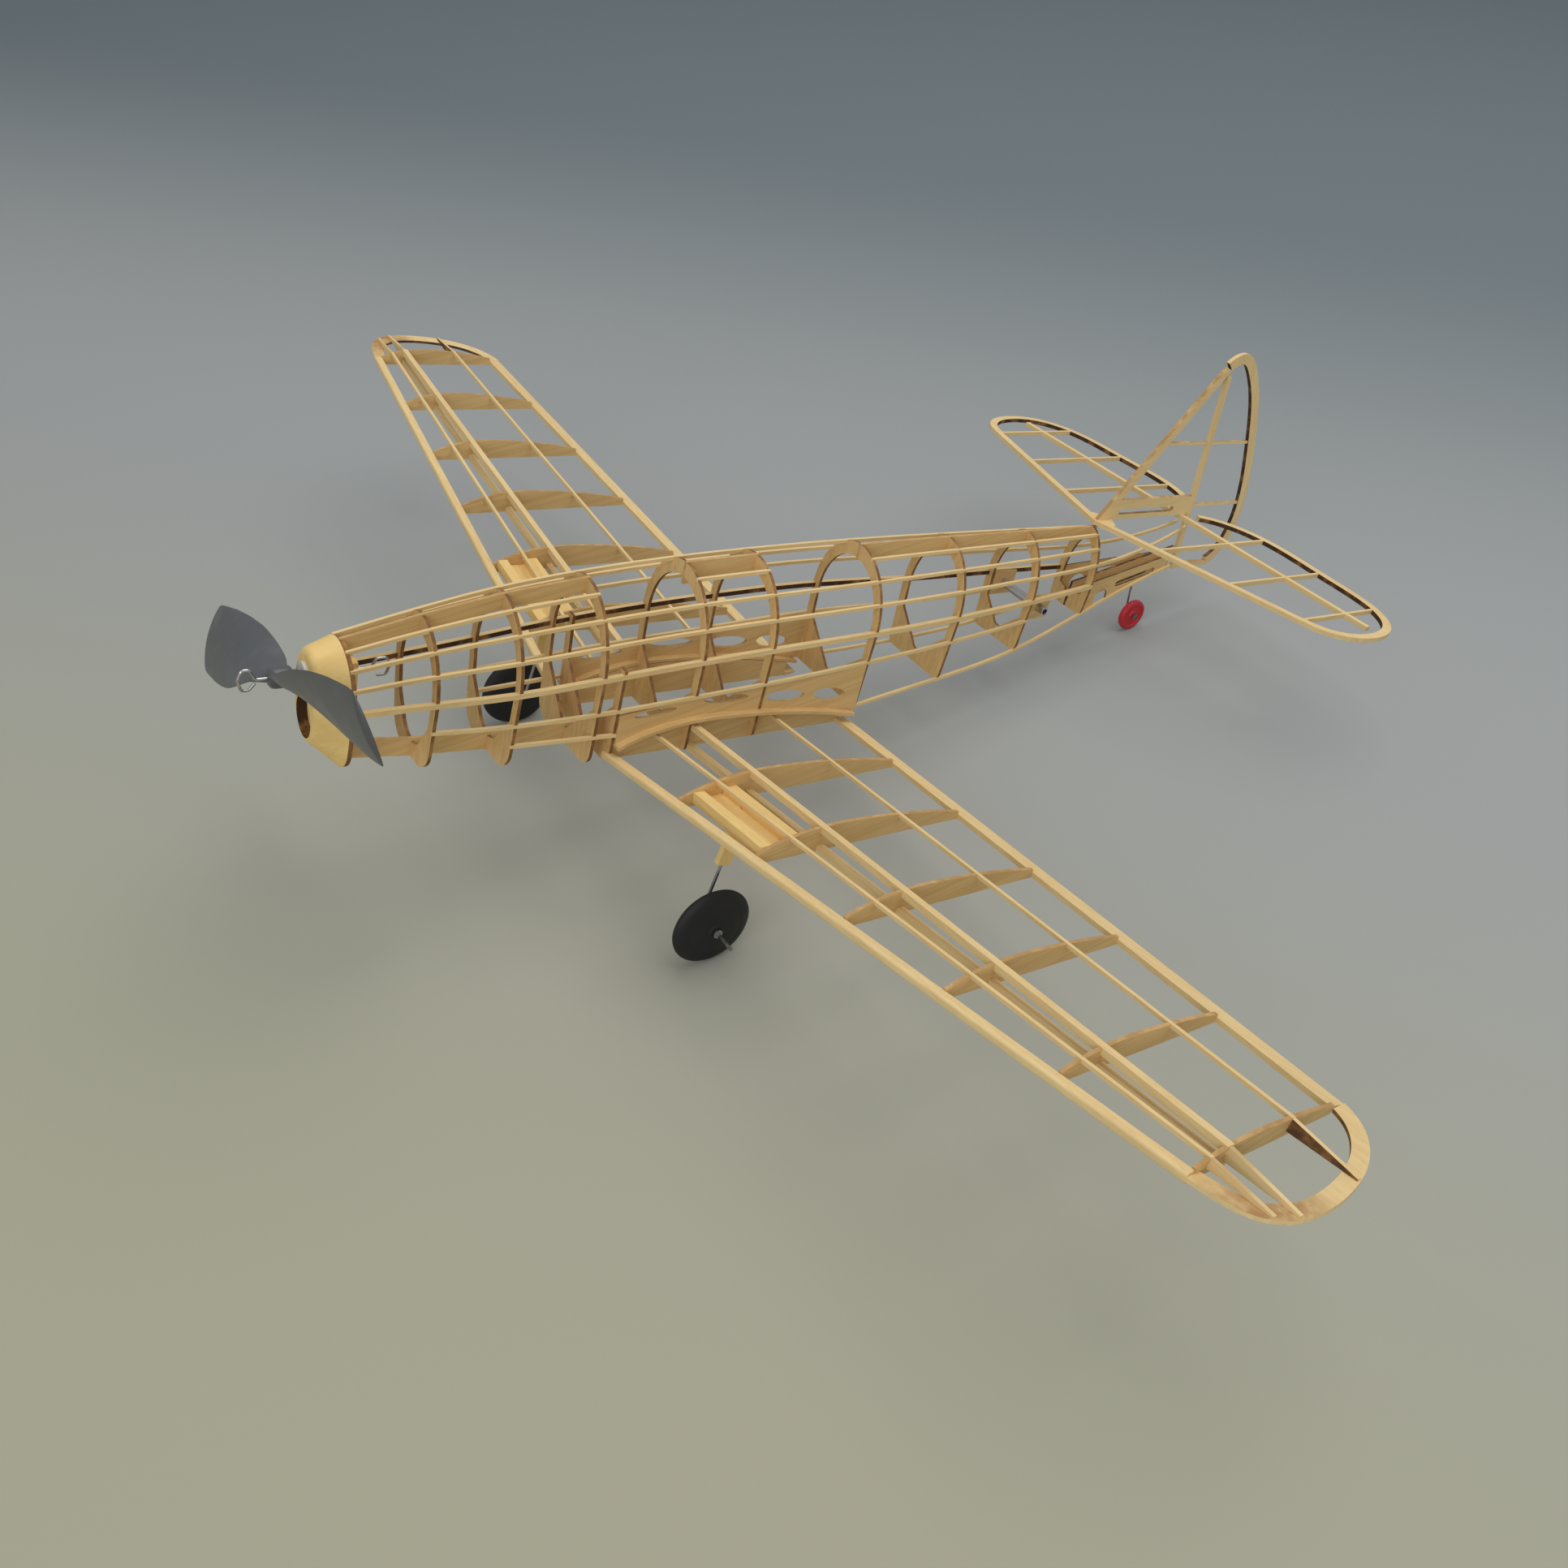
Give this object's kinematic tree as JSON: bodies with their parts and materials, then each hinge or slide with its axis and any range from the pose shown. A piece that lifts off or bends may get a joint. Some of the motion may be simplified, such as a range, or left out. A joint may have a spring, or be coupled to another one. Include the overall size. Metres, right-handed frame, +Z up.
{
  "type": "rubber powered model aeroplane airframe",
  "caption": "Low-wing, open-cockpit, tail-dragging model aeroplane as a bare balsa stick and laser-cut sheet frame, with a broad-bladed propeller and wire gear.",
  "frame": {"origin": "on the ground, under the centre of the bounding box", "axes": "+X to the left wing tip, +Y from nose to tail, +Z up, standing on all three wheels"},
  "size_m": [0.7502, 0.5838, 0.1878],
  "materials": {
    "balsa_sheet": "bare laser-cut balsa sheet, edges scorched brown",
    "balsa_stick": "bare pale balsa strip, fine straight grain",
    "nose_balsa": "carved and sanded balsa block",
    "prop_plastic": "satin grey moulded plastic",
    "spring_wire": "bright drawn spring wire",
    "wheel_plastic": "matt black moulded plastic",
    "tail_wheel_plastic": "red moulded plastic",
    "aluminium_tube": "drawn aluminium tube",
    "nylon": "off-white nylon"
  },
  "bodies": {
    "airframe": {"bottom_longerons": "balsa_stick", "cockpit_deck_keel": "balsa_sheet", "deck_stringers_left": "balsa_stick", "deck_stringers_right": "balsa_stick", "fin_frame": "balsa_sheet", "fin_rib": "balsa_sheet", "former_10": "balsa_sheet", "former_1_firewall": "balsa_sheet", "former_2": "balsa_sheet", "former_3": "balsa_sheet", "former_4": "balsa_sheet", "former_5": "balsa_sheet", "former_6": "balsa_sheet", "former_7": "balsa_sheet", "former_8": "balsa_sheet", "former_9": "balsa_sheet", "gear_fairings": "balsa_sheet", "gear_legs": "spring_wire", "gear_mounts": "balsa_sheet", "half_former_leading_edge": "balsa_sheet", "main_longeron_left": "balsa_stick", "main_longeron_right": "balsa_stick", "motor_peg": "aluminium_tube", "motor_peg_pads": "balsa_sheet", "nose_belly_keel": "balsa_sheet", "nose_deck_keel": "balsa_sheet", "rear_deck_keel": "balsa_sheet", "rudder_ribs": "balsa_sheet", "rudder_rim": "balsa_sheet", "side_stringers_left": "balsa_stick", "side_stringers_right": "balsa_stick", "stabiliser_leading_edge": "balsa_stick", "stabiliser_ribs": "balsa_sheet", "stabiliser_rim": "balsa_sheet", "stabiliser_spar": "balsa_stick", "tail_belly_keel": "balsa_sheet", "tail_post": "balsa_stick", "tail_side_plates": "balsa_sheet", "tail_wheel_wire": "spring_wire", "wheel_retainers": "spring_wire", "wing_leading_edge_left": "balsa_stick", "wing_leading_edge_right": "balsa_stick", "wing_ribs_left": "balsa_sheet", "wing_ribs_right": "balsa_sheet", "wing_saddle_sides": "balsa_sheet", "wing_saddle_strips": "balsa_sheet", "wing_spars_left": "balsa_stick", "wing_spars_right": "balsa_stick", "wing_tip_left": "balsa_sheet", "wing_tip_right": "balsa_sheet", "wing_trailing_edge_left": "balsa_stick", "wing_trailing_edge_right": "balsa_stick"},
    "nose_plug": {"nose_block": "nose_balsa", "thrust_button": "nylon"},
    "propeller": {"propeller": "prop_plastic", "prop_shaft": "spring_wire", "prop_bead": "nylon"},
    "wheel_left": {"wheel_left": "wheel_plastic"},
    "wheel_right": {"wheel_right": "wheel_plastic"},
    "tail_wheel": {"tail_wheel": "tail_wheel_plastic"}
  },
  "joints": [
    {"name": "nose_plug_slide", "type": "slide", "parent": "airframe", "child": "nose_plug", "axis": [0, -0.9756, 0.2196], "range_m": [0, 0.025]},
    {"name": "propeller_spin", "type": "hinge", "parent": "nose_plug", "child": "propeller", "pos_m": [0, -0.27263, 0.14057], "axis": [0, -0.9756, 0.2196], "continuous": true},
    {"name": "wheel_left_spin", "type": "hinge", "parent": "airframe", "child": "wheel_left", "pos_m": [0.1027, -0.13916, 0.0195], "axis": [1, 0, 0], "continuous": true},
    {"name": "wheel_right_spin", "type": "hinge", "parent": "airframe", "child": "wheel_right", "pos_m": [-0.1027, -0.13916, 0.0195], "axis": [1, 0, 0], "continuous": true},
    {"name": "tail_wheel_spin", "type": "hinge", "parent": "airframe", "child": "tail_wheel", "pos_m": [0, 0.21489, 0.0095], "axis": [1, 0, 0], "continuous": true}
  ]
}
